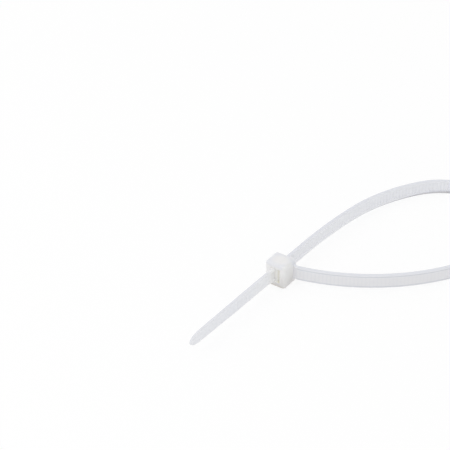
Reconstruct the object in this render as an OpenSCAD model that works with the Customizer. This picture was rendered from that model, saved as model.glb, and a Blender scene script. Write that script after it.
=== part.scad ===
// A nylon cable tie, closed into a drop-shaped loop and lying on its side.
// The head stands at the origin with its side face on z = 0 and its slot along Y.
// The strap leaves the head along +X, turns left through 270 degrees and comes back
// through the slot towards -Y. The whole tie is one moulding.

/* [Tie] */
// Length of the tie before it is closed, from the back of the head to the tip
tie_length = 198; // [190:1:225]

/* [Head] */
// Length of the head along the strap's root
head_length = 5.9; // [5.5:0.1:7]
// Depth of the head along its slot
head_depth = 5; // [4.6:0.1:6]
// Height of the head across the strap's width
head_height = 6.5; // [6:0.1:9]
// Radius of the upright corners away from the strap's root
back_corner_radius = 0.5; // [0.2:0.05:0.9]
// Radius of the upright corners beside the strap's root
root_corner_radius = 0.6; // [0.3:0.05:1]
// Radius of the long edges round the slot's two mouths
mouth_edge_radius = 0.3; // [0.1:0.05:0.6]
// Radius of the edges above and below the strap's root
root_edge_radius = 0.9; // [0.2:0.05:1.2]

/* [Strap] */
// Width of the strap
strap_width = 3.6; // [3.2:0.1:4.4]
// Thickness of the strap over its rails
strap_thickness = 1.05; // [0.9:0.05:1.2]
// Width of each plain rail beside the teeth
rail_width = 0.55; // [0.3:0.05:0.8]
// Thickness of the web under the teeth
web_thickness = 0.5; // [0.4:0.05:0.6]
// Distance of the strap's root from the face that the slot's entry is in
root_inset = 0.3; // [0.1:0.05:0.5]
// Radius of the fillets between the strap's edges and the head
neck_fillet = 0.5; // [0.2:0.05:0.8]

/* [Teeth] */
// Distance from tooth to tooth
tooth_pitch = 0.96; // [0.9:0.02:1.3]
// Height of a tooth over the web
tooth_height = 0.36; // [0.2:0.02:0.4]
// Flat length on top of a tooth
tooth_land = 0.2; // [0.1:0.02:0.3]
// Distance from the head to the first tooth
first_tooth_gap = 0.9; // [0.3:0.1:3]
// Length of the tail that has no teeth
plain_tail_length = 18.6; // [8:0.2:30]

/* [Loop] */
// Radius of the bend where the strap leaves the head
neck_radius = 5.5; // [4:0.1:12]
// Turn of that bend in degrees
neck_turn = 16; // [10:0.5:24]
// Radius of the loop's front flank
front_radius = 51; // [44:1:56]
// Turn of the front flank in degrees
front_turn = 57.1; // [52:0.1:66]
// Radius of the shoulder behind the loop's far end
shoulder_radius = 45.4; // [30:0.1:55]
// Turn of the shoulder in degrees
shoulder_turn = 26.5; // [16:0.5:32]
// Radius of the loop's back flank
back_radius = 142; // [80:1:180]
// Turn of the back flank in degrees
back_turn = 7.9; // [6:0.1:14]

/* [Tail] */
// Thickness of the tail where it still has teeth
tail_thickness = 0.7; // [0.65:0.05:0.85]
// Distance over which the strap thins to that once it is through the slot
thinning_length = 2.5; // [1:0.5:6]
// Thickness of the strap at its tip
tip_thickness = 0.55; // [0.4:0.05:0.65]
// Width of the tail where its rounded tip starts
tip_width = 2.95; // [2.4:0.05:3.15]
// Length of the rounded tip
tip_length = 3; // [1.6:0.1:4]

/* [Slot and pawl] */
// Wall between the slot and the strap's root
root_wall = 1.75; // [1.4:0.05:2]
// Room for the pawl between that wall and the strap
pawl_room = 1.3; // [1.2:0.05:1.5]
// Gap between the strap and whatever it passes in the head
strap_clearance = 0.12; // [0.08:0.01:0.2]
// Flare of the slot at its entry
entry_flare = 0.35; // [0.1:0.05:0.5]
// Thickness of the pawl behind its teeth
pawl_thickness = 0.65; // [0.5:0.05:0.75]
// Width of the pawl's hinge, measured along the slot
hinge_width = 0.8; // [0.5:0.05:1.2]
// Distance of the hinge from the slot's entry
hinge_inset = 0.5; // [0.3:0.05:0.8]
// Distance of the pawl's free end from the slot's exit
free_end_inset = 0.3; // [0.2:0.05:0.8]
// Gap between the pawl's teeth and the strap's rails
pawl_side_gap = 0.15; // [0.1:0.05:0.3]
// Gap between the pawl's body and the slot's floor and roof
body_gap = 0.15; // [0.1:0.05:0.3]

/* [Hidden] */
$fn = 48;
// Depth that joined shapes run into each other, and that cuts run past a face
overlap = 0.1;
// Length of the strap's root inside the head
root_depth = 1;
// Longest straight facet along the strap
facet_length = 0.64;
// The strap comes back across its own root, three quarters of a turn on
full_turn = 270;
nose_turn = full_turn - neck_turn - front_turn - shoulder_turn - back_turn;
turns = [neck_turn, front_turn, nose_turn, shoulder_turn, back_turn];
function heading(i) = i == 0 ? 0 : heading(i - 1) + turns[i - 1];

// Faces across the head, from the strap's root to the far wall of the slot
slot_root_side = head_length / 2 - root_wall;
strap_in_slot = slot_root_side - pawl_room - strap_thickness / 2;
slot_far_side = strap_in_slot - strap_thickness / 2 - strap_clearance;
body_side = strap_in_slot + strap_thickness / 2 + strap_clearance;
slot_height = strap_width + 2 * strap_clearance;
slot_floor = (head_height - slot_height) / 2;
pawl_width = strap_width - 2 * rail_width - 2 * pawl_side_gap;
body_width = slot_height - 2 * body_gap;

// Centre of the strap where it leaves the head
root_place = [head_length / 2, head_depth / 2 - root_inset - strap_thickness / 2];

// The far end's radius brings the strap back to its place across the slot
function across(i) = sin(heading(i + 1)) - sin(heading(i));
function up(i) = cos(heading(i)) - cos(heading(i + 1));
across_without_nose = neck_radius * across(0) + front_radius * across(1)
    + shoulder_radius * across(3) + back_radius * across(4);
nose_radius = (strap_in_slot - root_place.x - across_without_nose) / across(2);
radii = [neck_radius, front_radius, nose_radius, shoulder_radius, back_radius];
arc_count = len(radii);

// Where each arc starts, and how far along the strap that is
function arc_start(i) = i == 0 ? root_place : arc_start(i - 1) + radii[i - 1] * [across(i - 1), up(i - 1)];
function arc_along(i) = i == 0 ? 0 : arc_along(i - 1) + radii[i - 1] * turns[i - 1] * PI / 180;
arc_starts = [for (i = [0:arc_count]) arc_start(i)];
arcs_along = [for (i = [0:arc_count]) arc_along(i)];

// A distance along the strap, as a place and a heading: the root is straight, then come the arcs,
// and the rest runs straight down through the slot
function arc_at(s) = len([for (i = [1:arc_count]) if (s >= arcs_along[i]) i]);
function heading_at(s) = let(i = arc_at(s))
    s < 0 ? 0
    : i == arc_count ? full_turn
    : heading(i) + (s - arcs_along[i]) / radii[i] * 180 / PI;
function place_at(s) = let(i = arc_at(s), h = heading_at(s))
    s < 0 ? root_place + [s, 0]
    : i == arc_count ? arc_starts[i] - [0, s - arcs_along[i]]
    : arc_starts[i] + radii[i] * [sin(h) - sin(heading(i)), cos(heading(i)) - cos(h)];

// A point beside the centre line, towards the inside of the loop
function beside(s, inward) = let(h = heading_at(s)) place_at(s) + inward * [-sin(h), cos(h)];

// What the loop leaves of the tie is its tail
strap_length = tie_length - head_length;
tail_start = arcs_along[arc_count] + arc_starts[arc_count].y + head_depth / 2;
plain_start = strap_length - plain_tail_length;
tail_tip = place_at(strap_length).y;
facets = ceil((strap_length + root_depth) / facet_length);
stations = [for (k = [0:facets]) -root_depth + k * (strap_length + root_depth) / facets];

// The strap thins once it is through the slot, and its plain end thins again towards the tip.
// Its outer face stays straight.
outer_face = -strap_thickness / 2;
web_face = outer_face + web_thickness;
tooth_tip = web_face + tooth_height;
function inner_face(s) = outer_face + lookup(s, [
    [tail_start, strap_thickness],
    [tail_start + thinning_length, tail_thickness],
    [plain_start, tail_thickness],
    [strap_length, tip_thickness]
]);

// Steep faces of the teeth, from the head to the plain tail
tooth_count = floor((plain_start - first_tooth_gap) / tooth_pitch);
function tooth_at(j) = first_tooth_gap + j * tooth_pitch;

// The strap dips from the middle of the head until the loop's far end touches the surface,
// halfway between the directions in which it leaves the head and comes back
dip_direction = 45;
nose_centre = arc_starts[2] + nose_radius * [-sin(heading(2)), cos(heading(2))];
loop_reach = nose_centre * [cos(dip_direction), sin(dip_direction)] + nose_radius + strap_thickness / 2;
dip_angle = asin((head_height - strap_width) / 2 / loop_reach);

// Outline of a box with its own radius at each corner, from low-low round to low-high
module rounded_outline(low, high, radius) {
    polygon([
        [low.x + radius[0], low.y],
        [high.x - radius[1], low.y],
        [high.x, low.y + radius[1]],
        [high.x, high.y - radius[2]],
        [high.x - radius[2], high.y],
        [low.x + radius[3], high.y],
        [low.x, high.y - radius[3]],
        [low.x, low.y + radius[0]]
    ]);
    translate([low.x + radius[0], low.y + radius[0]]) circle(radius[0]);
    translate([high.x - radius[1], low.y + radius[1]]) circle(radius[1]);
    translate([high.x - radius[2], high.y - radius[2]]) circle(radius[2]);
    translate([low.x + radius[3], high.y - radius[3]]) circle(radius[3]);
}

// The strap seen from above, from its root to its tip
module strap_outline() {
    last = len(stations) - 1;
    polygon(concat(
        [for (s = stations) beside(s, outer_face)],
        [for (k = [last:-1:0]) beside(stations[k], inner_face(stations[k]))]
    ));
}

// The space over the teeth, between the rails: each tooth has a land, a ramp that falls away
// from the head, and then the next tooth's steep face
module tooth_gap_outline() {
    top = strap_thickness / 2 + overlap;
    toothed = [for (s = stations) if (s > tooth_at(0) && s < tooth_at(tooth_count)) s];
    polygon(concat(
        [beside(tooth_at(0), top), beside(tooth_at(0), tooth_tip)],
        [for (j = [0:tooth_count - 1]) each [
            beside(tooth_at(j) + tooth_land, tooth_tip),
            beside(tooth_at(j + 1), web_face),
            beside(tooth_at(j + 1), tooth_tip)
        ]],
        [beside(tooth_at(tooth_count), top)],
        [for (k = [len(toothed) - 1:-1:0]) beside(toothed[k], top)]
    ));
}

// The tail seen from the side: even in width as far as the teeth go, then straight tapers that
// end in half an ellipse
module tail_outline() {
    steps = 24;
    wide = strap_width / 2;
    even_to = tail_tip + plain_tail_length;
    polygon(concat(
        [[even_to, wide], [-head_depth / 2, wide], [-head_depth / 2, -wide], [even_to, -wide]],
        [for (k = [0:steps])
            let(a = 270 - 180 * k / steps)
            [tail_tip + tip_length * (1 + cos(a)), tip_width / 2 * sin(a)]]
    ));
}

// What is cut away round the tail to leave that outline
module tail_trim() {
    translate([strap_in_slot - strap_thickness, 0, strap_width / 2])
        rotate([90, 0, 90])
            linear_extrude(2 * strap_thickness)
                difference() {
                    translate([tail_tip - overlap, -strap_width])
                        square([-head_depth / 2 - tail_tip + overlap, 2 * strap_width]);
                    tail_outline();
                }
}

module strap() {
    difference() {
        linear_extrude(strap_width) strap_outline();
        translate([0, 0, rail_width])
            linear_extrude(strap_width - 2 * rail_width) tooth_gap_outline();
        tail_trim();
    }
}

// The strap at its height in the head, dipped towards the loop's far end
module strap_in_place() {
    translate([0, 0, head_height / 2])
        rotate(a = dip_angle, v = [-sin(dip_direction), cos(dip_direction), 0])
            translate([0, 0, -strap_width / 2])
                strap();
}

// A block rounded as it is seen from above, from the front and from the side
module head_blank() {
    length = head_length / 2;
    depth = head_depth / 2;
    intersection() {
        linear_extrude(head_height)
            rounded_outline(
                [-length, -depth],
                [length, depth],
                [back_corner_radius, root_corner_radius, root_corner_radius, back_corner_radius]
            );
        translate([0, depth, 0])
            rotate([90, 0, 0])
                linear_extrude(head_depth)
                    rounded_outline(
                        [-length, 0],
                        [length, head_height],
                        [mouth_edge_radius, root_edge_radius, root_edge_radius, mouth_edge_radius]
                    );
        translate([-length, 0, 0])
            rotate([90, 0, 90])
                linear_extrude(head_length)
                    rounded_outline(
                        [-depth, 0],
                        [depth, head_height],
                        mouth_edge_radius * [1, 1, 1, 1]
                    );
    }
}

// The slot right through the head, flared where the strap goes in
module slot() {
    entry = head_depth / 2;
    slot_top = slot_floor + slot_height;
    translate([0, 0, slot_floor])
        linear_extrude(slot_height)
            polygon([
                [slot_far_side, -entry - overlap],
                [slot_root_side, -entry - overlap],
                [slot_root_side, entry + overlap],
                [slot_far_side - entry_flare, entry + overlap],
                [slot_far_side - entry_flare, entry],
                [slot_far_side, entry - entry_flare]
            ]);
    translate([slot_far_side, 0, 0])
        rotate([90, 0, 90])
            linear_extrude(slot_root_side - slot_far_side)
                polygon([
                    [entry - entry_flare - overlap, slot_floor + overlap],
                    [entry - entry_flare, slot_floor],
                    [entry, slot_floor - entry_flare],
                    [entry + overlap, slot_floor - entry_flare],
                    [entry + overlap, slot_top + entry_flare],
                    [entry, slot_top + entry_flare],
                    [entry - entry_flare, slot_top],
                    [entry - entry_flare - overlap, slot_top - overlap]
                ]);
}

// The pawl seen from above: a tongue on a hinge near the entry, with teeth that mesh with the
// strap's
module pawl_outline() {
    hinge = head_depth / 2 - hinge_inset;
    hinge_end = hinge - hinge_width;
    // The strap's steep faces that lie between the hinge and the free end, which is a plain lip
    first = ceil((tail_start - head_depth / 2 - hinge_end - first_tooth_gap) / tooth_pitch);
    last = floor((tail_start - free_end_inset - first_tooth_gap) / tooth_pitch);
    tip = strap_in_slot + web_face + strap_clearance;
    root = tip + tooth_height;
    back = root + pawl_thickness;
    face = [for (j = [first + 1:last])
        let(steep = place_at(tooth_at(j)).y + strap_clearance, ramp = steep + tooth_pitch - tooth_land)
        each [[root, ramp], [tip, steep], [root, steep]]];
    free_end = free_end_inset - head_depth / 2;
    slope = (hinge - face[0].y) / (slot_root_side - root);
    polygon(concat(
        [[slot_root_side + overlap, hinge], [slot_root_side, hinge]],
        face,
        [
            [root, free_end],
            [back, free_end],
            [back, hinge_end - slope * (slot_root_side - back)],
            [slot_root_side, hinge_end],
            [slot_root_side + overlap, hinge_end]
        ]
    ));
}

// Its teeth stand between the strap's rails, and its body is as wide as the slot lets it be
module pawl() {
    translate([0, 0, (head_height - pawl_width) / 2])
        linear_extrude(pawl_width) pawl_outline();
    translate([0, 0, (head_height - body_width) / 2])
        linear_extrude(body_width)
            intersection() {
                pawl_outline();
                translate([body_side, -head_depth / 2]) square([head_length, head_depth]);
            }
}

// The fillets that run from the strap's two edges into the head
module neck_fillets() {
    length = neck_fillet + overlap;
    for (side = [-1, 1])
        translate([head_length / 2, root_place.y, head_height / 2 + side * strap_width / 2])
            rotate([90, 0, 0])
                translate([0, 0, -strap_thickness / 2 + overlap])
                    linear_extrude(strap_thickness - 2 * overlap)
                        difference() {
                            translate([-root_depth, side > 0 ? -overlap : -neck_fillet])
                                square([root_depth + neck_fillet, length]);
                            translate([neck_fillet, side * neck_fillet]) circle(neck_fillet);
                        }
}

module head() {
    difference() {
        head_blank();
        slot();
    }
    pawl();
    neck_fillets();
}

module cable_tie() {
    color([0.87, 0.88, 0.9]) {
        head();
        strap_in_place();
    }
}

cable_tie();
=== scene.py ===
import bpy
import numpy as np
from mathutils import Matrix, Vector


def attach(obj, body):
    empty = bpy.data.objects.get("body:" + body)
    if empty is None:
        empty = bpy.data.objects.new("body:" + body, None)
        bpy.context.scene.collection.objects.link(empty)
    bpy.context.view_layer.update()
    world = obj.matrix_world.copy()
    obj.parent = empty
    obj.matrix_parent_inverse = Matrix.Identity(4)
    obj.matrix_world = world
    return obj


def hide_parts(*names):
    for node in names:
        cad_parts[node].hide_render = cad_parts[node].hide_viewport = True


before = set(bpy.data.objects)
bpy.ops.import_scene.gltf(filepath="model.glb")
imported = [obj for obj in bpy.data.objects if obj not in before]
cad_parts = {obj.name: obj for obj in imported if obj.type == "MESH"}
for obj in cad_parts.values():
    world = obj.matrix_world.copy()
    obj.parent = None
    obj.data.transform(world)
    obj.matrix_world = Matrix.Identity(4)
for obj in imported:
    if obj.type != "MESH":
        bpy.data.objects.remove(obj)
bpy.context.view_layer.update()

print("stage: the frame is loaded")

mm = 0.001  # shapes are worked out in millimetres and scaled once, at the end
sharpAngle = 38  # edges that bend by more degrees than this aren't smoothed

# The strap and its teeth, in millimetres. These are the solid's sizes, but for the tip's width and
# length, which are taken from the picture, and the radii of the edges, which the solid leaves sharp.
strap = {
    "length": 192.098,  # from the head to the tip, a hair inside the solid
    "width": 3.6,
    "thickness": 1.05,
    "rail": 0.55,  # plain band beside the teeth
    "web": 0.5,  # thickness under the teeth
    "pitch": 0.96,
    "toothHeight": 0.36,
    "toothLand": 0.2,
    "firstTooth": 0.9,
    "plainTail": 18.6,
    "tailThickness": 0.7,
    "thinningLength": 2.5,
    "tipThickness": 0.55,
    "tipWidth": 3.3,
    "tipLength": 4.0,
    "neckFillet": 0.5,
    "rootDepth": 1.0,  # how far the root goes into the head
    "rootGap": 0.1,  # between its last row in there and the head's face
    "outerCorner": 0.14,  # radii of the strap's long edges
    "railCorner": 0.09,
    "grooveCorner": 0.06,
    "steepHalf": 0.02,  # half of what a tooth's steep face takes along the strap
    "crestEase": 0.05,  # how far its sharp edge is lowered
    "crestEased": 0.06,  # and how far along
    "landEased": (-0.04, 0.05),  # from before to after the land's end
    "rampPoint": 0.6,
    "leastGroove": 0.004,  # kept on the plain stretches, where it doesn't show
    "leastHalf": 0.001,  # half width at the very tip
    "leastShare": 0.3,  # of the half width, for the groove in the tip
    "facePoint": 0.5,  # share of the half width at which the outer face has a point
    "floorPoint": 0.4,  # and the groove's floor, of its own
}

# The loop's arcs from the head round: radius in millimetres and turn in degrees
loop = {
    "neck": (5.5, 16.0),
    "front": (51.0, 57.1),
    "shoulder": (45.4, 26.5),
    "back": (142.0, 7.9),
    "fullTurn": 270.0,
    "dipTowards": 45.0,
}

# The head, its slot and its pawl, in millimetres
head = {
    "length": 5.9,
    "depth": 5.0,
    "height": 6.5,
    "backCorner": 0.5,
    "rootCorner": 0.6,
    "mouthEdge": 0.3,
    "rootEdge": 0.9,
    "rootInset": 0.3,
    "rootWall": 1.75,
    "pawlRoom": 1.3,
    "clearance": 0.12,
    "entryFlare": 0.35,
    "slotCorner": 0.15,
    "slotEdge": 0.1,  # along the slot's four long corners
    "leastEdge": 0.04,  # what the outer edges keep where the mouth is rounded
    "rootEdgeLoss": 0.4,  # how much the root's edges lose there, as a share of the rounding
    "sideRow": 0.45,  # share of the half depth at which the long sides have a row
    "pawlThickness": 0.65,
    "hingeWidth": 0.8,
    "hingeInset": 0.5,
    "freeEndInset": 0.3,
    "pawlSideGap": 0.15,
    "bodyGap": 0.15,
    "pawlEdge": 0.05,
    "pawlInWall": 0.3,
    "teethInBody": 0.2,
    "teethShort": 0.04,  # by how much the row of teeth stays inside the body's ends
}

# Into how many steps the skin's stretches and edges are divided
steps = {
    "root": 5,
    "neck": 9,
    "tail": 60,
    "tip": 22,
    "strapEdge": 5,
    "grooveEdge": 3,
    "ringSide": 9,
    "ringCorner": 7,
    "headEdge": 10,
    "mouthEdge": 7,
    "slotEase": 5,
}

# Places that follow: beside the strap's line, along it, and sideways in the head
outerFace = -strap["thickness"] / 2
webFace = outerFace + strap["web"]
plainStart = strap["length"] - strap["plainTail"]
tipStart = strap["length"] - strap["tipLength"]
slotHalf = strap["width"] / 2 + head["clearance"]
slotRootSide = head["length"] / 2 - head["rootWall"]
strapInSlot = slotRootSide - head["pawlRoom"] - strap["thickness"] / 2
slotFarSide = strapInSlot - strap["thickness"] / 2 - head["clearance"]
bodySide = strapInSlot + strap["thickness"] / 2 + head["clearance"]
pawlTip = strapInSlot + webFace + head["clearance"]
pawlRoot = pawlTip + strap["toothHeight"]
pawlBack = pawlRoot + head["pawlThickness"]


def closedLoop():
    # Each arc moves the strap sideways by radius x (sine of its last heading - sine of its first).
    # The far end's radius is what brings the sum of these from the root to the slot.
    turns = [loop["neck"][1], loop["front"][1], 0.0, loop["shoulder"][1], loop["back"][1]]
    turns[2] = loop["fullTurn"] - sum(turns)
    radii = np.array([loop["neck"][0], loop["front"][0], 0.0, loop["shoulder"][0], loop["back"][0]])
    headings = np.radians(np.concatenate([[0.0], np.cumsum(turns)]))
    sideways = np.diff(np.sin(headings))
    root = np.array([head["length"] / 2, head["depth"] / 2 - head["rootInset"] - strap["thickness"] / 2])
    radii[2] = (strapInSlot - root[0] - radii @ sideways) / sideways[2]
    moves = radii[:, None] * np.stack([sideways, -np.diff(np.cos(headings))], 1)
    starts = root + np.concatenate([np.zeros((1, 2)), np.cumsum(moves, 0)])
    alongs = np.concatenate([[0.0], np.cumsum(radii * np.diff(headings))])
    return radii, headings, starts, alongs


radii, headings, starts, alongs = closedLoop()
tailStart = alongs[-1] + starts[-1][1] + head["depth"] / 2
print("stage: the loop closes with a far end of radius %.2f mm" % radii[2])


def strapLine(along):
    # The place and heading at a distance along the strap: the root is straight, on an arc the place
    # is its start + radius x (sin h - sin h0, cos h0 - cos h), and the rest is straight again
    arc = np.clip(np.searchsorted(alongs, along, side="right") - 1, 0, len(radii) - 1)
    on = np.clip(along, 0.0, alongs[-1])
    turned = headings[arc] + (on - alongs[arc]) / radii[arc]
    swing = np.stack([np.sin(turned) - np.sin(headings[arc]), np.cos(headings[arc]) - np.cos(turned)], -1)
    direction = np.stack([np.cos(turned), np.sin(turned)], -1)
    place = starts[arc] + radii[arc][..., None] * swing + (along - on)[..., None] * direction
    return place, direction


def placeStrap(along, beside, across):
    # A point beside and across the strap's line, dipped about the head's middle so that the loop's
    # far end touches the surface: Rodrigues' turn about a level axis
    place, direction = strapLine(along)
    inward = np.stack([-direction[..., 1], direction[..., 0]], -1)
    flat = np.concatenate([place + beside[..., None] * inward, across[..., None]], -1)
    lean = np.radians(loop["dipTowards"])
    towards = np.array([np.cos(lean), np.sin(lean)])
    centre = starts[2] + radii[2] * np.array([-np.sin(headings[2]), np.cos(headings[2])])
    reach = centre @ towards + radii[2] + strap["thickness"] / 2
    dip = np.arcsin((head["height"] - strap["width"]) / 2 / reach)
    axis = np.array([-towards[1], towards[0], 0.0])
    turned = flat * np.cos(dip) + np.cross(axis, flat) * np.sin(dip)
    turned = turned + (flat @ axis)[..., None] * axis * (1 - np.cos(dip))
    return turned + np.array([0.0, 0.0, head["height"] / 2])


def meshObject(name, points, faces, maps=None):
    # One object from points (n, 3) and faces (m, 4), turned right side out by the sign of its volume
    corners = points[faces]
    fan = np.cross(corners[:, 1] - corners[:, 0], corners[:, 2] - corners[:, 0])
    fan = fan + np.cross(corners[:, 2] - corners[:, 0], corners[:, 3] - corners[:, 0])
    if np.einsum("ij,ij->", fan, corners.mean(1)) < 0:
        faces = faces[:, ::-1]
    mesh = bpy.data.meshes.new(name)
    mesh.from_pydata(points, [], [list(dict.fromkeys(f)) for f in faces.tolist()])
    for mapName, values in (maps or {}).items():
        loopPoint = np.zeros(len(mesh.loops), np.int32)
        mesh.loops.foreach_get("vertex_index", loopPoint)
        layer = mesh.uv_layers.new(name=mapName)
        layer.data.foreach_set("uv", values[loopPoint].astype(np.float32).ravel())
    return linked(mesh)


def linked(data):
    made = bpy.data.objects.new(data.name, data)
    bpy.context.scene.collection.objects.link(made)
    return made


def combined(body, others):
    # The body with the others added, as one new mesh without inner walls
    for other in others:
        union = body.modifiers.new("union", "BOOLEAN")
        union.operation, union.solver, union.object = "UNION", "EXACT", other
    graph = bpy.context.evaluated_depsgraph_get()
    mesh = bpy.data.meshes.new_from_object(body.evaluated_get(graph))
    for part in [body, *others]:
        bpy.data.objects.remove(part)
    return mesh


def gridFaces(rows, columns, closedRows=False):
    # Quads between neighbouring rows of a grid whose columns close on themselves
    row = np.arange(rows if closedRows else rows - 1)[:, None]
    column = np.arange(columns)[None, :]
    nextRow, nextColumn = (row + 1) % rows, (column + 1) % columns
    return np.stack([
        row * columns + column,
        row * columns + nextColumn,
        nextRow * columns + nextColumn,
        nextRow * columns + column,
    ], -1).reshape(-1, 4)


def arcAround(centreAcross, centreBeside, radius, fromAngle, toAngle, count):
    # Points on a quarter circle for every station: centre + radius x (cos, sin)
    angle = np.linspace(np.radians(fromAngle), np.radians(toAngle), count)[None, :]
    return np.stack([
        centreAcross[:, None] + radius[:, None] * np.cos(angle),
        centreBeside[:, None] + radius[:, None] * np.sin(angle),
    ], -1)


def strapStations():
    # Stations along the strap with the groove floor at each. A tooth is a valley, a steep face, a
    # land with eased edges and a ramp; the same few offsets are laid down once for every tooth.
    face, pitch, land = strap["steepHalf"], strap["pitch"], strap["toothLand"]
    count = int((plainStart - strap["firstTooth"]) / pitch)
    landEnd = [land + ease for ease in strap["landEased"]]
    offset = np.array([-face, face, strap["crestEased"], *landEnd, strap["rampPoint"]])
    rise = strap["toothHeight"] * np.clip((pitch - offset) / (pitch - land), 0.0, 1.0)
    rise[0] = face
    rise[1] -= strap["crestEase"]
    steep = strap["firstTooth"] + pitch * np.arange(count)
    teeth = (steep[:, None] + offset[None, :]).ravel()
    floor = webFace + np.tile(rise, count)
    full = strap["thickness"] / 2
    floor[0] = full
    root = np.linspace(-strap["rootDepth"], -strap["rootGap"], steps["root"])
    neck = strap["neckFillet"] * (1 - np.cos(np.linspace(0, np.pi / 2, steps["neck"])))[:-1]
    end = strap["firstTooth"] + pitch * count
    tail = np.linspace(end + face, tipStart, steps["tail"])
    tip = tipStart + strap["tipLength"] * np.sin(np.linspace(0, np.pi / 2, steps["tip"]))[1:]
    along = np.concatenate([root, neck, teeth, [end - face], tail, tip])
    before, after = np.full(len(root) + len(neck), full), np.full(len(tail) + len(tip), full)
    return along, np.concatenate([before, floor, [webFace + face], after])


def strapSection(along, floor):
    # The strap's section at every station as (across, beside) points: outer face, rounded edge,
    # rail, groove wall and groove floor, then the same mirrored. The tip's half width shrinks as
    # the square root of 1 - t^2, and the neck's fillet widens it by r - sqrt(r^2 - d^2).
    inner = outerFace + np.interp(along, [
        tailStart, tailStart + strap["thinningLength"], plainStart, strap["length"],
    ], [strap["thickness"], strap["tailThickness"], strap["tailThickness"], strap["tipThickness"]])
    narrow = np.clip((along - plainStart) / (tipStart - plainStart), 0.0, 1.0)
    inTip = np.clip((along - tipStart) / strap["tipLength"], 0.0, 1.0)
    half = (strap["width"] + (strap["tipWidth"] - strap["width"]) * narrow) / 2
    half = half * np.sqrt(1 - inTip ** 2)
    fillet = strap["neckFillet"]
    flare = fillet - np.sqrt(fillet ** 2 - np.clip(fillet - along, 0.0, fillet) ** 2)
    half = np.maximum(half + flare, strap["leastHalf"])
    outer = np.full_like(along, outerFace)
    soft = np.minimum(1.0, half / (2 * strap["outerCorner"]))
    outerRound = strap["outerCorner"] * soft
    railRound = strap["railCorner"] * soft
    groove = np.maximum(half - strap["rail"], half * strap["leastShare"])
    floor = np.minimum(floor, inner - strap["leastGroove"])
    edge = np.minimum(strap["grooveCorner"], (inner - floor) / 2)
    side = np.concatenate([
        np.stack([half * strap["facePoint"], outer], -1)[:, None],
        arcAround(half - outerRound, outer + outerRound, outerRound, -90, 0, steps["strapEdge"]),
        arcAround(half - railRound, inner - railRound, railRound, 0, 90, steps["strapEdge"]),
        arcAround(groove + edge, inner - edge, edge, 90, 180, steps["grooveEdge"]),
        arcAround(groove - edge, floor + edge, edge, 0, -90, steps["grooveEdge"]),
        np.stack([groove * strap["floorPoint"], floor], -1)[:, None],
    ], 1)
    mirrored = side[:, ::-1] * np.array([-1.0, 1.0])
    return np.concatenate([side, mirrored], 1)


def makeStrap():
    # The section carried along the strap's line, closed at both ends by a pole
    along, floor = strapStations()
    section = strapSection(along, floor)
    rows, columns = section.shape[:2]
    run = np.broadcast_to(along[:, None], (rows, columns))
    points = placeStrap(run, section[..., 1], section[..., 0]).reshape(-1, 3)
    poles = np.array([points[:columns].mean(0), points[-columns:].mean(0)])
    turn = np.arange(columns)
    nextTurn = (turn + 1) % columns
    rootPole = np.full(columns, rows * columns)
    last = (rows - 1) * columns
    faces = np.concatenate([
        gridFaces(rows, columns),
        np.stack([rootPole, nextTurn, turn, turn], -1),
        np.stack([rootPole + 1, last + turn, last + nextTurn, last + nextTurn], -1),
    ])
    # The run's second value is such that its distance from half the width is that from the edge
    narrowing = strap["width"] / 2 - section[..., 0].max(1, keepdims=True)
    mapped = section[..., 0] + np.sign(section[..., 0]) * narrowing
    runMap = np.stack([run, mapped], -1).reshape(-1, 2)
    sideMap = section[..., ::-1].reshape(-1, 2)
    return meshObject("strapPart", np.concatenate([points, poles]), faces, {
        "strapRun": np.concatenate([runMap, [[along[0], 0.0], [along[-1], 0.0]]]),
        "strapSide": np.concatenate([sideMap, np.zeros((2, 2))]),
    })


def ringOutline(lowX, highX, lowZ, highZ, lowRound, highRound):
    # A rounded rectangle for every row, with the same number of points on each side and corner
    angle = np.linspace(0, np.pi / 2, steps["ringCorner"])
    corners = [
        (highX - highRound, highZ - highRound, highRound, angle),
        (lowX + lowRound, highZ - lowRound, lowRound, angle + np.pi / 2),
        (lowX + lowRound, lowZ + lowRound, lowRound, angle + np.pi),
        (highX - highRound, lowZ + highRound, highRound, angle + 1.5 * np.pi),
    ]
    bends = [np.stack([x[:, None] + r[:, None] * np.cos(a), z[:, None] + r[:, None] * np.sin(a)], -1)
             for x, z, r, a in corners]
    share = np.linspace(0, 1, steps["ringSide"] + 2)[None, 1:-1, None]
    outline = []
    for i in range(4):
        bend, following = bends[i], bends[(i + 1) % 4]
        outline += [bend, bend[:, -1:] * (1 - share) + following[:, :1] * share]
    return np.concatenate(outline, 1)


def roundedInset(depthwise, radius):
    # How far a face is drawn in near an edge of that radius: r - sqrt(r^2 - d^2)
    past = np.clip(np.abs(depthwise) - (head["depth"] / 2 - radius), 0.0, radius)
    return radius - np.sqrt(radius ** 2 - past ** 2)


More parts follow.
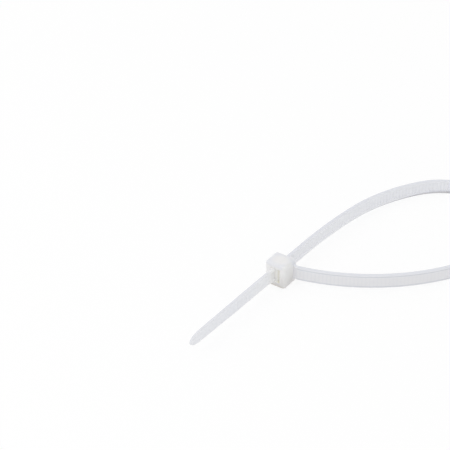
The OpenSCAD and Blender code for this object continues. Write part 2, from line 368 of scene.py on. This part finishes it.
def makeHead():
    # A ring round the slot: its outline goes along the outer wall, over one mouth, down the slot's
    # wall and over the other mouth, each row a rounded rectangle in its own plane
    deep = head["depth"] / 2
    rootBend = np.sin(np.radians(np.linspace(0, 90, steps["headEdge"])))
    mouthBend = np.sin(np.radians(np.linspace(0, 90, steps["mouthEdge"])))
    outward = np.unique(np.round(np.concatenate([
        deep - head["rootCorner"] + head["rootCorner"] * rootBend,
        deep - head["mouthEdge"] * (1 - mouthBend),
        [head["sideRow"] * deep],
    ]), 4))
    outward = outward[outward <= deep]
    outerY = np.concatenate([-outward[::-1], outward])
    rootIn = roundedInset(outerY, head["rootCorner"])
    backIn = roundedInset(outerY, head["backCorner"])
    mouthIn = roundedInset(outerY, head["mouthEdge"])
    outer = ringOutline(
        -head["length"] / 2 + backIn,
        head["length"] / 2 - rootIn,
        mouthIn,
        head["height"] - mouthIn,
        np.maximum(head["mouthEdge"] - mouthIn, head["leastEdge"]),
        head["rootEdge"] - head["rootEdgeLoss"] * rootIn,
    )
    # The slot's rows, from the entry mouth down to the exit
    flare, ease = head["entryFlare"], head["slotCorner"]
    easeBend = np.linspace(0, np.pi / 2, steps["slotEase"])
    innerY = np.concatenate([[deep, deep - flare, 0.0], -deep + ease * (1 - np.sin(easeBend))])
    easeOut = np.concatenate([np.zeros(3), ease * (1 - np.cos(easeBend))])
    flareIn = np.zeros(len(innerY))
    flareIn[0] = flare
    middle = head["height"] / 2
    slotEdge = np.full(len(innerY), head["slotEdge"])
    inner = ringOutline(
        slotFarSide - flareIn - easeOut,
        slotRootSide + easeOut,
        middle - slotHalf - flareIn - easeOut,
        middle + slotHalf + flareIn + easeOut,
        slotEdge,
        slotEdge,
    )
    rows = np.concatenate([outer, inner])
    depthwise = np.broadcast_to(np.concatenate([outerY, innerY])[:, None], rows.shape[:2])
    points = np.stack([rows[..., 0], depthwise, rows[..., 1]], -1).reshape(-1, 3)
    return meshObject("headPart", points, gridFaces(*rows.shape[:2], closedRows=True))


def pawlOutlines():
    # The tongue seen from above: its body hangs from the slot's root side, and its teeth mirror the
    # strap's own where the strap stands in the slot, moved off them by the clearance
    hinge = head["depth"] / 2 - head["hingeInset"]
    hingeEnd = hinge - head["hingeWidth"]
    freeEnd = head["freeEndInset"] - head["depth"] / 2
    first = np.ceil((tailStart - head["depth"] / 2 - hingeEnd - strap["firstTooth"]) / strap["pitch"])
    last = np.floor((tailStart - head["freeEndInset"] - strap["firstTooth"]) / strap["pitch"])
    steepAlong = strap["firstTooth"] + strap["pitch"] * np.arange(first + 1, last + 1)
    steep = strapLine(steepAlong)[0][:, 1] + head["clearance"]
    ramp = steep + strap["pitch"] - strap["toothLand"]
    teeth = np.stack([
        np.stack([np.full_like(steep, pawlRoot), ramp], -1),
        np.stack([np.full_like(steep, pawlTip), steep], -1),
        np.stack([np.full_like(steep, pawlRoot), steep], -1),
    ], 1).reshape(-1, 2)
    slope = (hinge - teeth[0, 1]) / (slotRootSide - pawlRoot)
    # What runs into its neighbour is buried in it, so that no two faces lie in one plane
    inWall = slotRootSide + head["pawlInWall"]
    inBody, short = bodySide + head["teethInBody"], head["teethShort"]
    body = np.array([
        [inWall, hinge],
        [slotRootSide, hinge],
        [bodySide, hinge - slope * (slotRootSide - bodySide)],
        [bodySide, freeEnd],
        [pawlBack, freeEnd],
        [pawlBack, hingeEnd - slope * (slotRootSide - pawlBack)],
        [slotRootSide, hingeEnd],
        [inWall, hingeEnd],
    ])
    toothed = np.concatenate([
        [[inBody, hinge - slope * (slotRootSide - inBody) - short]],
        teeth,
        [[pawlRoot, freeEnd + short], [inBody, freeEnd + short]],
    ])
    return toothed, body


def raised(name, outline, half):
    # An outline, anticlockwise from above, carried up and down from the middle of the head
    levels = head["height"] / 2 + np.array([-half, half])
    points = np.stack([np.column_stack([outline, np.full(len(outline), z)]) for z in levels])
    lower = list(range(len(outline)))
    upper = [i + len(outline) for i in lower]
    mesh = bpy.data.meshes.new(name)
    mesh.from_pydata(points.reshape(-1, 3), [], gridFaces(2, len(outline)).tolist() + [lower[::-1], upper])
    made = linked(mesh)
    bevel = made.modifiers.new("edges", "BEVEL")
    bevel.width = head["pawlEdge"]
    bevel.segments = 2
    return made


def makePawl():
    # The teeth stand between the strap's rails, and the body is as wide as the slot lets it be
    toothed, body = pawlOutlines()
    return [
        raised("pawlTeeth", toothed, strap["width"] / 2 - strap["rail"] - head["pawlSideGap"]),
        raised("pawlBody", body, slotHalf - head["bodyGap"]),
    ]


def united(name, parts, materials):
    # The parts as one closed skin. The strap comes first and takes the first material, and the
    # head and its pawl take the second.
    for number, part in enumerate(parts):
        for material in materials:
            part.data.materials.append(material)
        part.data.polygons.foreach_set("material_index", np.full(len(part.data.polygons), min(number, 1)))
    mesh = combined(parts[0], parts[1:])
    mesh.name = name
    mesh.transform(Matrix.Scale(mm, 4))
    mesh.polygons.foreach_set("use_smooth", np.ones(len(mesh.polygons), bool))
    mesh.set_sharp_from_angle(angle=np.radians(sharpAngle))
    return linked(mesh)


def colour(red, green, blue):
    # A screen colour from 0 to 255 as the linear light that a shader takes
    value = np.array([red, green, blue]) / 255
    linear = np.where(value <= 0.04045, value / 12.92, ((value + 0.055) / 1.055) ** 2.4)
    return (*linear.tolist(), 1.0)


def addNode(tree, kind, inputs=None, **settings):
    # A node with its settings, whose inputs are numbers or other nodes' outputs
    made = tree.nodes.new(kind)
    for key, value in settings.items():
        setattr(made, key, value)
    for key, value in (inputs or {}).items():
        if isinstance(value, bpy.types.NodeSocket):
            tree.links.new(value, made.inputs[key])
        else:
            made.inputs[key].default_value = value
    return made


def math(tree, operation, *values):
    made = addNode(tree, "ShaderNodeMath", dict(enumerate(values)), operation=operation)
    return made.outputs[0]


def product(tree, first, *others):
    for other in others:
        first = math(tree, "MULTIPLY", first, other)
    return first


def blend(tree, share, first, second):
    return addNode(tree, "ShaderNodeMix", {0: share, 6: first, 7: second}, data_type="RGBA").outputs[2]


def separated(tree, vector):
    return addNode(tree, "ShaderNodeSeparateXYZ", {"Vector": vector}).outputs


def objectPlace(tree):
    return addNode(tree, "ShaderNodeTexCoord").outputs["Object"]


def fade(tree, value, span, base=0.0, unit=1.0):
    # Smooth from 0 at the span's first end to 1 at its second, which may be the lower of the two.
    # The ends count from the base, in the unit.
    first, second = [(base + end) * unit for end in span]
    rising = first <= second
    return addNode(tree, "ShaderNodeMapRange", {
        "Value": value,
        "From Min": min(first, second),
        "From Max": max(first, second),
        "To Min": 0.0 if rising else 1.0,
        "To Max": 1.0 if rising else 0.0,
    }, interpolation_type="SMOOTHSTEP").outputs[0]


def mixedShaders(tree, share, first, second):
    # The share is the second one's
    made = addNode(tree, "ShaderNodeMixShader", {0: share, 1: first.outputs[0], 2: second.outputs[0]})
    return made.outputs[0]


# The nylon's colours, with its painted light and shade, and sizes in millimetres
nylonLook = {
    "strapInner": (236, 238, 248),
    "strapOuterShaded": (231, 231, 234),
    "stripeShade": (222, 223, 228),
    "valley": (240, 243, 252),
    "tail": (229, 231, 239),
    "paintedLightByHead": (244, 244, 244),
    "edge": (211, 213, 219),
    "rimShade": (219, 221, 229),
    "head": (243, 242, 242),
    "headRimShade": (230, 231, 236),
    "headLowShade": (224, 222, 221),
    "headRightShade": (236, 236, 235),
    "headTopRightShade": (224, 226, 232),
    "pawl": (245, 243, 236),
    "warmLightBehindPawl": (235, 231, 214),
    "headContactShadow": (209, 204, 198),
    "strapContact": (182, 181, 184),
    "grainSize": 0.12,
    "grainDetail": 2.0,
    "grainStrength": 0.08,
    "grainHeight": 0.02,
    "roughness": 0.32,
    "refraction": 1.53,
    "scatterDepth": 2.0,
    "scatterShare": 1.0,
    "shadowClear": 0.76,  # share of light that goes through each surface where it would leave a shadow
}


def nylonShader(tree, baseColour):
    grain = addNode(tree, "ShaderNodeTexNoise", {
        "Vector": objectPlace(tree),
        "Scale": 1 / (nylonLook["grainSize"] * mm),
        "Detail": nylonLook["grainDetail"],
    })
    bump = addNode(tree, "ShaderNodeBump", {
        "Height": grain.outputs["Fac"],
        "Strength": nylonLook["grainStrength"],
        "Distance": nylonLook["grainHeight"] * mm,
    })
    nylon = addNode(tree, "ShaderNodeBsdfPrincipled", {
        "Base Color": baseColour,
        "Roughness": nylonLook["roughness"],
        "IOR": nylonLook["refraction"],
        "Subsurface Weight": nylonLook["scatterShare"],
        "Subsurface Radius": (1.0, 1.0, 1.0),
        "Subsurface Scale": nylonLook["scatterDepth"] * mm,
        "Normal": bump.outputs["Normal"],
    })
    # Milky nylon lets part of the light through, so its shadows are faint
    path = addNode(tree, "ShaderNodeLightPath")
    shading = math(tree, "MAXIMUM", path.outputs["Is Shadow Ray"], path.outputs["Is Diffuse Ray"])
    clear = product(tree, shading, nylonLook["shadowClear"])
    through = addNode(tree, "ShaderNodeBsdfTransparent", {"Color": (1.0, 1.0, 1.0, 1.0)})
    addNode(tree, "ShaderNodeOutputMaterial", {"Surface": mixedShaders(tree, clear, nylon, through)})


def newMaterial(name):
    made = bpy.data.materials.new(name)
    made.use_nodes = True
    made.node_tree.nodes.clear()
    return made


# Where the strap's tones change, in millimetres, from where a tone starts to where it is full
strapTones = {
    "outside": (0.25, 0.05),  # inward from the outer face
    "valley": (0.45, 0.8),  # in shares of a pitch
    "valleyEnd": (1.0, 0.92),
    "band": (0.15, -0.1),  # across, from the rails' inner edges
    "toothed": (0.3, -0.3),  # along, from where the tail is plain
    "lightInside": (-45.0, -25.0),  # along, from the tail's start
    "stripes": 0.4,  # how strong they are
    "faintOutside": (8.0, 20.0),  # along, from the head
    "stripesLost": 0.18,  # how much weaker they are where they are faint
    "inValley": (0.25, 0.05),  # inward from the web's face
    "paintedValleyLight": 0.7,
    "tailFrom": 3.0,  # after the tail's start
    "tailTo": 2.0,  # after the start of its plain stretch
    "tailShare": 0.85,
    "outerEdgeShade": (0.62, 0.4),  # round a corner, the way to both of its faces added
    "outerLineEnd": (0.14, 0.3),
    "innerEdgeShade": (0.3, 0.15),
    "innerShare": 0.2,
    "clearOfHead": (0.3, 1.5),  # along, from the head
    "rimShade": (0.16, 0.04),
    "paintedLightByHead": (0.0, 1.0),  # along, from the slot's entry
    "paintedLightByHeadEnd": (3.2, 0.6),  # along, from the tail's start
    "contactHeight": (1.2, 0.65),  # up from the surface
    "contactBeside": (0.0, 0.3),
    "contactRim": (0.01, 0.08),
}


def strapMaterial():
    made = newMaterial("nylonStrap")
    tree = made.node_tree
    run, side = [separated(tree, addNode(tree, "ShaderNodeUVMap", uv_map=name).outputs[0])
                 for name in ("strapRun", "strapSide")]
    along, beside = run["X"], side["X"]
    across = math(tree, "ABSOLUTE", run["Y"])
    outside = fade(tree, beside, strapTones["outside"], outerFace)
    inside = math(tree, "SUBTRACT", 1.0, outside)
    # Painted shade: the outer face is a little darker and greyer than the inner one, as it takes more of the
    # open light
    base = blend(tree, outside, colour(*nylonLook["strapInner"]), colour(*nylonLook["strapOuterShaded"]))
    # Painted shade: the teeth show through the outer face as soft darker stripes between the rails, where
    # less light comes through the nylon
    sinceFirst = math(tree, "SUBTRACT", along, strap["firstTooth"])
    tooth = math(tree, "FRACT", math(tree, "DIVIDE", sinceFirst, strap["pitch"]))
    valley = product(tree, fade(tree, tooth, strapTones["valley"]),
                     fade(tree, tooth, strapTones["valleyEnd"]))
    band = fade(tree, across, strapTones["band"], strap["width"] / 2 - strap["rail"])
    toothed = fade(tree, along, strapTones["toothed"], plainStart)
    # They show as much on the inside, but for the stretch near the head and the tail
    byTail = fade(tree, along, strapTones["lightInside"], tailStart)
    striped = math(tree, "MAXIMUM", outside, math(tree, "SUBTRACT", 1.0, byTail))
    stripeShade = product(tree, valley, band, product(tree, toothed, striped))
    faint = product(tree, outside, fade(tree, along, strapTones["faintOutside"]))
    strength = math(tree, "SUBTRACT", strapTones["stripes"], product(tree, faint, strapTones["stripesLost"]))
    base = blend(tree, product(tree, stripeShade, strength), base, colour(*nylonLook["stripeShade"]))
    # Painted light: on that stretch the valleys are lighter instead, where the web is thin and light comes
    # through
    inValley = product(tree, fade(tree, beside, strapTones["inValley"], webFace), inside)
    light = product(tree, inValley, band, product(tree, byTail, strapTones["paintedValleyLight"]))
    base = blend(tree, light, base, colour(*nylonLook["valley"]))
    tailSpan = (tailStart + strapTones["tailFrom"], plainStart + strapTones["tailTo"])
    inTail = product(tree, fade(tree, along, tailSpan), strapTones["tailShare"])
    base = blend(tree, inTail, base, colour(*nylonLook["tail"]))
    # Painted shade: the long edges are a little darker, where the light runs out of them sideways
    fromEdge = math(tree, "SUBTRACT", strap["width"] / 2, across)
    fromOuter = math(tree, "SUBTRACT", beside, outerFace)
    fromInner = math(tree, "SUBTRACT", strap["thickness"] / 2, beside)
    cornerOuter = math(tree, "ADD", fromEdge, fromOuter)
    cornerInner = math(tree, "ADD", fromEdge, fromInner)
    outerEdgeShade = product(tree, fade(tree, cornerOuter, strapTones["outerEdgeShade"]),
                        fade(tree, cornerOuter, strapTones["outerLineEnd"]))
    innerEdgeShade = product(tree, fade(tree, cornerInner, strapTones["innerEdgeShade"]), strapTones["innerShare"])
    line = math(tree, "MAXIMUM", outerEdgeShade, innerEdgeShade)
    clearOfHead = fade(tree, along, strapTones["clearOfHead"])
    base = blend(tree, product(tree, line, clearOfHead), base, colour(*nylonLook["edge"]))
    # Painted shade on the edge faces themselves, clear of the head
    rimShade = product(tree, fade(tree, fromEdge, strapTones["rimShade"]), clearOfHead)
    base = blend(tree, rimShade, base, colour(*nylonLook["rimShade"]))
    # Painted light on the strap in and by the slot, where the head shades it
    paintedLightByHead = product(tree, fade(tree, along, strapTones["paintedLightByHead"], tailStart - head["depth"]),
                     fade(tree, along, strapTones["paintedLightByHeadEnd"], tailStart))
    base = blend(tree, paintedLightByHead, base, colour(*nylonLook["paintedLightByHead"]))
    # A line of shade low on the strap, where it comes near the surface
    upward = separated(tree, objectPlace(tree))["Z"]
    contact = product(tree, fade(tree, beside, strapTones["contactBeside"]),
                      fade(tree, fromEdge, strapTones["contactRim"]),
                      fade(tree, upward, strapTones["contactHeight"], unit=mm))
    base = blend(tree, contact, base, colour(*nylonLook["strapContact"]))
    nylonShader(tree, base)
    return made


# The same for the head, in millimetres from its middle and up from the surface
headTones = {
    "rimShade": (0.0, 1.0),  # x^2 + y^2, with both as shares of the way to the edge
    "rimHeight": (-1.2, -0.2),  # from the top
    "right": (1.6, 2.7),
    "topRight": (1.2, 2.7),
    "topRightDepth": (-0.5, 1.8),
    "topRightHeight": (4.6, 6.0),
    "low": (4.8, 0.6),
    "lowShare": 0.9,
    "contact": (0.9, 0.2),
    "contactFoot": (0.01, 0.1),
    "slotSkin": 0.03,  # how far into the slot's walls its tones reach
    "warmLightBehindPawl": (-0.1, 0.1),  # sideways, from the pawl's back
}


def headMaterial():
    made = newMaterial("nylonHead")
    tree = made.node_tree
    place = separated(tree, objectPlace(tree))
    sideways, depthwise, upward = place["X"], place["Y"], place["Z"]
    # Painted light and shade on the top: light fills the middle of the block and runs out near its edges
    wide = math(tree, "POWER", math(tree, "DIVIDE", sideways, head["length"] / 2 * mm), 2.0)
    deep = math(tree, "POWER", math(tree, "DIVIDE", depthwise, head["depth"] / 2 * mm), 2.0)
    towardsRimShade = product(tree, fade(tree, math(tree, "ADD", wide, deep), headTones["rimShade"]),
                         fade(tree, upward, headTones["rimHeight"], head["height"], mm))
    base = blend(tree, towardsRimShade, colour(*nylonLook["head"]), colour(*nylonLook["headRimShade"]))
    # Painted shade: darker on the root's side, bluer and darker at the top there under the root's shade, and
    # darker and warmer towards the surface
    right = fade(tree, sideways, headTones["right"], unit=mm)
    base = blend(tree, right, base, colour(*nylonLook["headRightShade"]))
    topRight = product(tree, fade(tree, sideways, headTones["topRight"], unit=mm),
                       fade(tree, depthwise, headTones["topRightDepth"], unit=mm),
                       fade(tree, upward, headTones["topRightHeight"], unit=mm))
    base = blend(tree, topRight, base, colour(*nylonLook["headTopRightShade"]))
    low = product(tree, fade(tree, upward, headTones["low"], unit=mm), headTones["lowShare"])
    base = blend(tree, low, base, colour(*nylonLook["headLowShade"]))
    # Painted contact shadow along the foot
    contact = product(tree, fade(tree, upward, headTones["contact"], unit=mm),
                      fade(tree, upward, headTones["contactFoot"], unit=mm))
    base = blend(tree, contact, base, colour(*nylonLook["headContactShadow"]))
    # Painted light in the slot: its walls and the pawl are painted light, and the room behind the pawl warm,
    # for the light that comes there through the nylon
    skin = headTones["slotSkin"]
    offMiddle = math(tree, "ABSOLUTE", math(tree, "SUBTRACT", upward, head["height"] / 2 * mm))
    inSlot = product(tree, math(tree, "GREATER_THAN", sideways, (slotFarSide - skin) * mm),
                     math(tree, "LESS_THAN", sideways, (slotRootSide + skin) * mm),
                     math(tree, "LESS_THAN", offMiddle, (slotHalf + skin) * mm))
    behind = fade(tree, sideways, headTones["warmLightBehindPawl"], pawlBack, mm)
    inside = blend(tree, behind, colour(*nylonLook["pawl"]), colour(*nylonLook["warmLightBehindPawl"]))
    base = blend(tree, inSlot, base, inside)
    nylonShader(tree, base)
    return made


parts = [makeStrap(), makeHead(), *makePawl()]
tie = united("cable_tie_moulding", parts, [strapMaterial(), headMaterial()])
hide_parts("cable_tie")
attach(tie, "root")
print("stage: the tie is one skin of %d faces" % len(tie.data.polygons))

# The white surface and the light, in metres
studio = {
    "floorSize": 8.0,
    "floorLight": 0.95,  # how much light the surface gives back to the tie
    "floorShown": 0.25,  # share of the shown floor that takes shadows
    "floorLit": 0.9,  # how light the lamp and the sky make that share, out of 1 for white
    "worldLight": 0.8,
    "lampPower": 0.8,
    "lampSize": 0.5,
    "lampPlace": (-0.37, -0.46, 0.54),
}


def makeFloor():
    half = studio["floorSize"] / 2
    corners = np.array([[-half, -half, 0], [half, -half, 0], [half, half, 0], [-half, half, 0]], float)
    mesh = bpy.data.meshes.new("floor")
    mesh.from_pydata(corners, [], [[0, 1, 2, 3]])
    floor = linked(mesh)
    made = newMaterial("whiteSurface")
    tree = made.node_tree
    # What is seen glows and takes a faint shadow; what lights the tie is a plain white
    shown, back = studio["floorShown"], studio["floorLight"]
    glowing = 1.0 - studio["floorLit"] * shown
    shadowed = addNode(tree, "ShaderNodeBsdfDiffuse", {"Color": (shown, shown, shown, 1.0)})
    glow = addNode(tree, "ShaderNodeEmission", {"Color": (1.0, 1.0, 1.0, 1.0), "Strength": glowing})
    both = addNode(tree, "ShaderNodeAddShader", {0: shadowed.outputs[0], 1: glow.outputs[0]})
    plain = addNode(tree, "ShaderNodeBsdfDiffuse", {"Color": (back, back, back, 1.0)})
    surface = mixedShaders(tree, seenDirectly(tree), plain, both)
    addNode(tree, "ShaderNodeOutputMaterial", {"Surface": surface})
    mesh.materials.append(made)


def seenDirectly(tree):
    # 1 where the eye, a reflection or a see-through ray meets the background, 0 where it lights
    path = addNode(tree, "ShaderNodeLightPath")
    gloss = math(tree, "MAXIMUM", path.outputs["Is Glossy Ray"], path.outputs["Is Transmission Ray"])
    return math(tree, "MAXIMUM", path.outputs["Is Camera Ray"], gloss)


def makeLight():
    world = bpy.data.worlds.new("studio")
    bpy.context.scene.world = world
    world.use_nodes = True
    tree = world.node_tree
    tree.nodes.clear()
    white = (1.0, 1.0, 1.0, 1.0)
    light, shown = [addNode(tree, "ShaderNodeBackground", {"Color": white, "Strength": strength})
                    for strength in (studio["worldLight"], 1.0)]
    surface = mixedShaders(tree, seenDirectly(tree), light, shown)
    addNode(tree, "ShaderNodeOutputWorld", {"Surface": surface})
    lamp = bpy.data.lights.new("softBox", "AREA")
    lamp.energy = studio["lampPower"]
    lamp.size = studio["lampSize"]
    box = linked(lamp)
    box.location = studio["lampPlace"]
    box.rotation_euler = (-Vector(studio["lampPlace"])).to_track_quat("-Z", "Y").to_euler()


# The photograph's view, in degrees, metres and its own 450 x 450 pixels
view = {
    "frame": 450,
    "focalPixels": 3633.0,
    "distance": 0.9,
    "elevation": 35.14,
    "azimuth": 34.61,
    "headAcross": 280.68,  # counted from the picture's top left corner
    "headDown": 281.31,
    "sensor": 36.0,  # in millimetres, as the lens is; the view depends on their ratio only
    "nearest": 0.01,
    "farthest": 20.0,
}


def makeCamera():
    # The camera looks along `ahead`, and the head's foot falls on the given pixel
    rise, swing = np.radians(view["elevation"]), np.radians(view["azimuth"])
    ahead = np.array([-np.sin(swing) * np.cos(rise), np.cos(swing) * np.cos(rise), -np.sin(rise)])
    right = np.array([np.cos(swing), np.sin(swing), 0.0])
    up = np.cross(right, ahead)
    middle = view["frame"] / 2
    shiftRight = (view["headAcross"] - middle) / view["focalPixels"]
    shiftDown = (view["headDown"] - middle) / view["focalPixels"]
    place = -view["distance"] * (ahead + right * shiftRight - up * shiftDown)
    data = bpy.data.cameras.new("camera")
    data.sensor_width = view["sensor"]
    data.lens = view["focalPixels"] / view["frame"] * data.sensor_width
    data.clip_start, data.clip_end = view["nearest"], view["farthest"]
    camera = linked(data)
    turn = np.eye(4)
    turn[:3, 0], turn[:3, 1], turn[:3, 2], turn[:3, 3] = right, up, -ahead, place
    camera.matrix_world = Matrix(turn.tolist())
    bpy.context.scene.camera = camera


makeFloor()
makeLight()
makeCamera()
bpy.context.scene.view_settings.view_transform = "Standard"
print("stage: floor, light and camera are in place")
